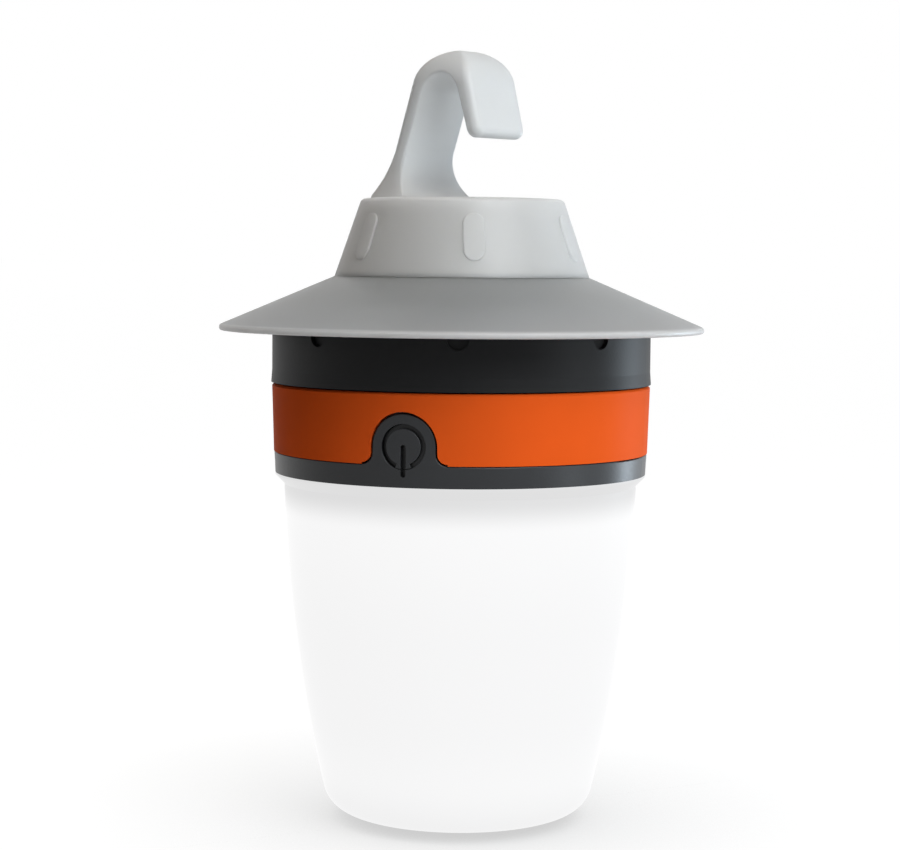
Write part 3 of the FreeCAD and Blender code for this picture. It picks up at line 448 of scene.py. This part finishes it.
class DressHood(bpy.types.Operator):
    """Translucent shade, crown and hook"""

    bl_idname = "lantern.dress_hood"
    bl_label = "Dress shade and hook"

    def execute(self, context):
        choice = finishes()
        frosted = {
            "Specular IOR Level": 0.2,
            "Transmission Weight": 0.35,
            "Subsurface Weight": 1.0,
            "Subsurface Radius": (0.008, 0.008, 0.0084),
            "Subsurface Scale": 1.0,
        }
        grain = 1.0 / choice.grain_size
        # Frosted brim, its colour darkened as painted shade
        brim = moulded_material(
            "Frosted brim", tuple(choice.brim_painted_shade_colour), frosted_roughness, frosted,
            grain=grain, bump=0.03, spread=0.03,
        )
        crown = moulded_material(
            "Frosted crown", tuple(choice.crown_colour), frosted_roughness, frosted,
            grain=grain, bump=0.03, spread=0.03,
        )
        # The brim's edge gets a painted highlight and the crown's foot a painted shade
        self.run_colours(brim, brim_low, choice.painted_edge_colour, [(brim_edge_highlight, choice.brim_painted_shade_colour)])
        self.run_colours(
            crown, crown_low, choice.painted_edge_colour,
            [(crown_foot_shade, choice.crown_colour), (hook_start, choice.hook_colour)],
        )
        paint_nodes(brim, "shade_brim")
        paint_nodes(crown, "hook_cap")
        return {"FINISHED"}

    def run_colours(self, material, bottom, lowest, steps):
        """Let the colour of a piece's lowest edge run into others, each between two heights above it. On the
        brim that edge colour is a painted highlight, on the crown a painted shade.
        """
        tree = material.node_tree
        paint = tree.nodes["Principled BSDF"].inputs["Base Color"].links[0].from_node
        last = None
        for (start, end), colour in steps:
            mix = tree.nodes.new("ShaderNodeMix")
            mix.data_type = "RGBA"
            mix.inputs["A"].default_value = (*lowest, 1.0)
            mix.inputs["B"].default_value = (*colour, 1.0)
            tree.links.new(mask_between(tree, bottom + start, bottom + end), mix.inputs["Factor"])
            if last:
                tree.links.new(last, mix.inputs["A"])
            last = mix.outputs["Result"]
        tree.links.new(last, paint.inputs["Colour"])


class DressCore(bpy.types.Operator):
    """Moulded core, battery well, carrier and seals"""

    bl_idname = "lantern.dress_core"
    bl_label = "Dress core"

    def execute(self, context):
        core = moulded_material("Core plastic", (0.055, 0.056, 0.06), 0.5, {})
        carrier = moulded_material("Carrier plastic", (0.10, 0.10, 0.10), 0.45, {})
        seal = moulded_material("Seal rubber", (0.03, 0.03, 0.03), 0.5, {}, bump=0.02)
        paint_nodes(core, "housing", "battery_well")
        paint_nodes(carrier, "battery_carrier")
        paint_nodes(seal, "globe_seal", "cap_seal")
        return {"FINISHED"}


class DressLight(bpy.types.Operator):
    """Light source: spreader, board, emitter, lens, reflector and screws"""

    bl_idname = "lantern.dress_light"
    bl_label = "Dress light source"

    def execute(self, context):
        glow = finishes().globe_glow
        metal = metal_material("Bare aluminium", (0.75, 0.76, 0.77), 0.35)
        board = moulded_material("White board", (0.85, 0.85, 0.84), 0.4, {})
        emitter = moulded_material("Emitter phosphor", (0.95, 0.80, 0.25), 0.4, {})
        clear = {"Transmission Weight": 1.0}
        lens = moulded_material("Clear lens", (0.95, 0.96, 0.95), 0.05, clear, bump=0.0)
        dish = moulded_material("White reflector", (0.88, 0.88, 0.87), 0.25, {}, bump=0.01)
        steel = metal_material("Screw steel", (0.60, 0.60, 0.60), 0.3)
        shader = emitter.node_tree.nodes["Principled BSDF"]
        shader.inputs["Emission Color"].default_value = (*glow, 1.0)
        shader.inputs["Emission Strength"].default_value = emitter_strength
        paint_nodes(metal, "heat_spreader", "capacitors")
        paint_nodes(board, "led_board")
        paint_nodes(emitter, "led_emitter")
        paint_nodes(lens, "led_lens")
        paint_nodes(dish, "reflector")
        paint_nodes(steel, "light_screws", "well_screws")
        return {"FINISHED"}


class DressElectronics(bpy.types.Operator):
    """Boards, components, leads and contacts"""

    bl_idname = "lantern.dress_electronics"
    bl_label = "Dress electronics"

    def execute(self, context):
        board = moulded_material("Green board", (0.03, 0.20, 0.08), 0.35, {})
        black = moulded_material("Black component", (0.03, 0.03, 0.03), 0.45, {})
        copper = metal_material("Tinned copper", (0.72, 0.45, 0.30), 0.3)
        nickel = metal_material("Nickel contact", (0.70, 0.69, 0.66), 0.25)
        paint_nodes(board, "driver_board", "contact_board")
        paint_nodes(black, "tact_switch", "switch_plunger", "inductor", "driver_chip")
        paint_nodes(copper, "light_leads", "battery_leads")
        paint_nodes(nickel, "contact_fingers", "carrier_terminals", "flat_contacts", "spring_contacts")
        return {"FINISHED"}


class DressCells(bpy.types.Operator):
    """Three cells"""

    bl_idname = "lantern.dress_cells"
    bl_label = "Dress cells"

    def execute(self, context):
        can = metal_material("Cell can", (0.55, 0.56, 0.58), 0.3)
        paint_nodes(can, "battery_cell_1", "battery_cell_2", "battery_cell_3")
        return {"FINISHED"}


class SetStage(bpy.types.Operator):
    """Floor, soft lights, white surroundings and the camera"""

    bl_idname = "lantern.set_stage"
    bl_label = "Set stage"

    def execute(self, context):
        choice = context.scene.lantern_stage
        self.make_floor(choice)
        self.make_sky(choice)
        self.make_lamps(choice)
        self.make_camera(choice)
        context.scene.view_settings.view_transform = "Standard"
        return {"FINISHED"}

    def make_floor(self, choice):
        """Plain pale floor that stays white to the camera and keeps the shadow."""
        mesh = bpy.data.meshes.new("floor")
        signs = ((-1, -1), (1, -1), (1, 1), (-1, 1))
        corners = [(x * floor_half, y * floor_half, 0) for x, y in signs]
        mesh.from_pydata(corners, [], [(0, 1, 2, 3)])
        floor = bpy.data.objects.new("floor", mesh)
        floor.location.z = -floor_drop
        bpy.context.scene.collection.objects.link(floor)
        material = moulded_material("Pale floor", tuple(choice.floor_colour), 0.8, {}, bump=0.0, spread=0.01)
        tree = material.node_tree
        rays = tree.nodes.new("ShaderNodeLightPath")
        white = tree.nodes.new("ShaderNodeEmission")
        shade = tree.nodes.new("ShaderNodeAmbientOcclusion")
        shade.samples = shadow_rays
        shade.inputs["Distance"].default_value = shadow_reach
        strength = tree.nodes.new("ShaderNodeMapRange")
        strength.inputs["To Min"].default_value = floor_shaded
        strength.inputs["To Max"].default_value = floor_white
        share = tree.nodes.new("ShaderNodeMath")
        share.operation = "MULTIPLY"
        share.inputs[1].default_value = floor_white_share
        mix = tree.nodes.new("ShaderNodeMixShader")
        output = tree.nodes["Material Output"]
        link = tree.links.new
        link(shade.outputs["AO"], strength.inputs["Value"])
        link(strength.outputs["Result"], white.inputs["Strength"])
        link(self.seen_ray(tree, rays), share.inputs[0])
        link(share.outputs["Value"], mix.inputs["Fac"])
        link(tree.nodes["Principled BSDF"].outputs["BSDF"], mix.inputs[1])
        link(white.outputs["Emission"], mix.inputs[2])
        link(mix.outputs["Shader"], output.inputs["Surface"])
        mesh.materials.append(material)

    def seen_ray(self, tree, rays):
        """Whether a ray is a camera, glossy or transmission ray."""
        first = tree.nodes.new("ShaderNodeMath")
        first.operation = "MAXIMUM"
        second = tree.nodes.new("ShaderNodeMath")
        second.operation = "MAXIMUM"
        tree.links.new(rays.outputs["Is Camera Ray"], first.inputs[0])
        tree.links.new(rays.outputs["Is Glossy Ray"], first.inputs[1])
        tree.links.new(first.outputs["Value"], second.inputs[0])
        tree.links.new(rays.outputs["Is Transmission Ray"], second.inputs[1])
        return second.outputs["Value"]

    def make_sky(self, choice):
        """White to the camera, glossy and transmission rays, and a plain even light otherwise."""
        world = bpy.data.worlds.new("Studio")
        world.use_nodes = True
        tree = world.node_tree
        back = tree.nodes["Background"]
        back.inputs["Color"].default_value = (1.0, 1.0, 1.0, 1.0)
        rays = tree.nodes.new("ShaderNodeLightPath")
        strength = tree.nodes.new("ShaderNodeMapRange")
        strength.inputs["To Min"].default_value = choice.sky_strength
        strength.inputs["To Max"].default_value = 1.0
        tree.links.new(self.seen_ray(tree, rays), strength.inputs["Value"])
        tree.links.new(strength.outputs["Result"], back.inputs["Strength"])
        bpy.context.scene.world = world

    def make_lamps(self, choice):
        """Four lamps, each set so many metres right of, in front of and above the lantern's middle."""
        middle = Vector((0, 0, cad_high.z / 2))
        turn = choice.camera_azimuth
        right = Vector((math.cos(turn), math.sin(turn), 0))
        front = Vector((math.sin(turn), -math.cos(turn), 0))
        up = Vector((0, 0, 1))
        lamps = (
            ("Key light", (0.30, 0.44, 0.42), 0.50, choice.key_power, (0.94, 0.975, 1.0)),
            ("Side light", (0.52, 0.22, 0.0), 0.17, choice.side_power, (0.84, 0.93, 1.0)),
            ("Rim light", (0.50, -0.27, -0.03), 0.11, choice.rim_power, (0.76, 0.89, 1.0)),
            ("Fill light", (-0.22, 0.16, 0.68), 0.40, choice.fill_power, (1.0, 0.83, 0.66)),
        )
        for name, (aside, ahead, above), size, power, colour in lamps:
            place = middle + right * aside + front * ahead + up * above
            self.make_lamp(name, place, middle, size, power, colour)

    def make_lamp(self, name, place, target, size, power, colour):
        """Soft round lamp aimed at the lantern."""
        data = bpy.data.lights.new(name, "AREA")
        data.shape = "DISK"
        data.size = size
        data.energy = power
        data.color = colour
        lamp = bpy.data.objects.new(name, data)
        lamp.location = place
        lamp.rotation_euler = (target - place).to_track_quat("-Z", "Y").to_euler()
        bpy.context.scene.collection.objects.link(lamp)

    def make_camera(self, choice):
        """Camera at the photograph's viewing angle."""
        data = bpy.data.cameras.new("Camera")
        data.sensor_width = 36.0
        data.lens = choice.camera_lens
        data.clip_start = 0.01
        camera = bpy.data.objects.new("Camera", data)
        bpy.context.scene.collection.objects.link(camera)
        turn = choice.camera_azimuth
        place = Vector((math.sin(turn), -math.cos(turn), 0)) * choice.camera_distance
        place.z = choice.camera_height
        level = Matrix.Rotation(turn + choice.camera_yaw, 4, "Z")
        tilt = Matrix.Rotation(math.pi / 2 - choice.camera_pitch, 4, "X")
        roll = Matrix.Rotation(choice.camera_roll, 4, "Z")
        camera.matrix_world = Matrix.Translation(place) @ level @ tilt @ roll
        bpy.context.scene.camera = camera


class LanternPanel(bpy.types.Panel):
    """Lists the lantern's settings and steps"""

    bl_idname = "VIEW3D_PT_lantern"
    bl_label = "Camping lantern"
    bl_space_type = "VIEW_3D"
    bl_region_type = "UI"
    bl_category = "Lantern"

    def draw(self, context):
        for settings in (context.scene.lantern_finishes, context.scene.lantern_stage):
            for name in settings.__annotations__:
                self.layout.prop(settings, name)
        for operator in operators:
            self.layout.operator(operator.bl_idname)


operators = (
    DressGlobe, DressCollar, DressCap, DressHood,
    DressCore, DressLight, DressElectronics, DressCells, SetStage,
)
classes = (LanternFinishes, LanternStage) + operators + (LanternPanel,)


def register():
    """Register the add-on's classes and settings."""
    for item in classes:
        bpy.utils.register_class(item)
    bpy.types.Scene.lantern_finishes = bpy.props.PointerProperty(type=LanternFinishes)
    bpy.types.Scene.lantern_stage = bpy.props.PointerProperty(type=LanternStage)


def unregister():
    """Remove the add-on's classes and settings."""
    del bpy.types.Scene.lantern_stage
    del bpy.types.Scene.lantern_finishes
    for item in reversed(classes):
        bpy.utils.unregister_class(item)


def main():
    """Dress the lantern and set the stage."""
    register()
    bpy.ops.lantern.dress_globe()
    bpy.ops.lantern.dress_collar()
    bpy.ops.lantern.dress_cap()
    bpy.ops.lantern.dress_hood()
    bpy.ops.lantern.dress_core()
    bpy.ops.lantern.dress_light()
    bpy.ops.lantern.dress_electronics()
    bpy.ops.lantern.dress_cells()
    bpy.ops.lantern.set_stage()


if __name__ == "__main__":
    main()
